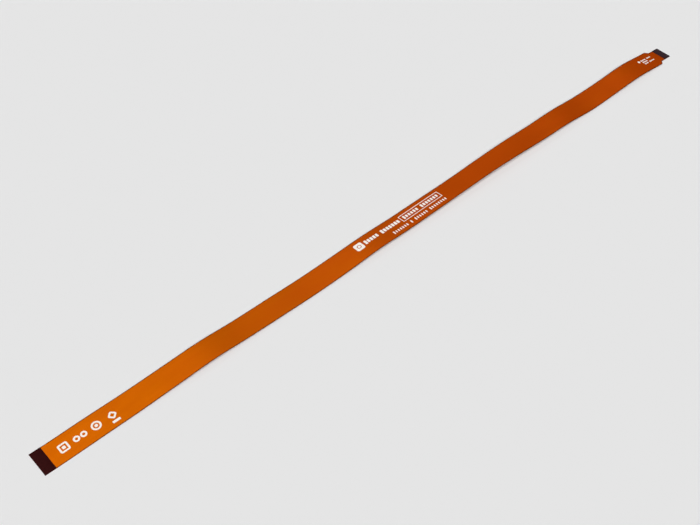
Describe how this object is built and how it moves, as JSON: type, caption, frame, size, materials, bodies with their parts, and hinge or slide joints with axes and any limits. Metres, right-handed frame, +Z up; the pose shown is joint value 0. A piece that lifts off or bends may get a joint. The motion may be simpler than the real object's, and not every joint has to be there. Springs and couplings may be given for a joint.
{
  "type": "flat flex cable",
  "caption": "Long amber flat flex cable with a wide plug tip at one end and a narrow necked plug tip at the other, dark stiffeners on top and gold contact fingers beneath.",
  "frame": {"origin": "middle of the strip's length and width, on the surface that it lies on", "axes": "+X along the strip from the wide tip to the narrow tip, +Z up; the contact fingers face down"},
  "size_m": [0.4996, 0.016, 0.0058],
  "materials": {
    "cover_film": "satin amber polyimide film",
    "base_film": "satin amber polyimide film",
    "copper": "rolled copper foil",
    "gold": "gold plating on copper",
    "wide_stiffener": "dark film over the stiffening layer",
    "narrow_stiffener": "dark film over the stiffening layer",
    "print": "white screen print"
  },
  "bodies": {
    "root": {"bottom_coverlay": "cover_film", "conductors": "copper", "base_film": "base_film", "ground_plane": "copper", "top_coverlay": "cover_film", "wide_contacts": "gold", "narrow_contacts": "gold", "wide_stiffener": "wide_stiffener", "narrow_stiffener": "narrow_stiffener", "wide_print": "print", "middle_print": "print", "narrow_print": "print"}
  },
  "joints": []
}
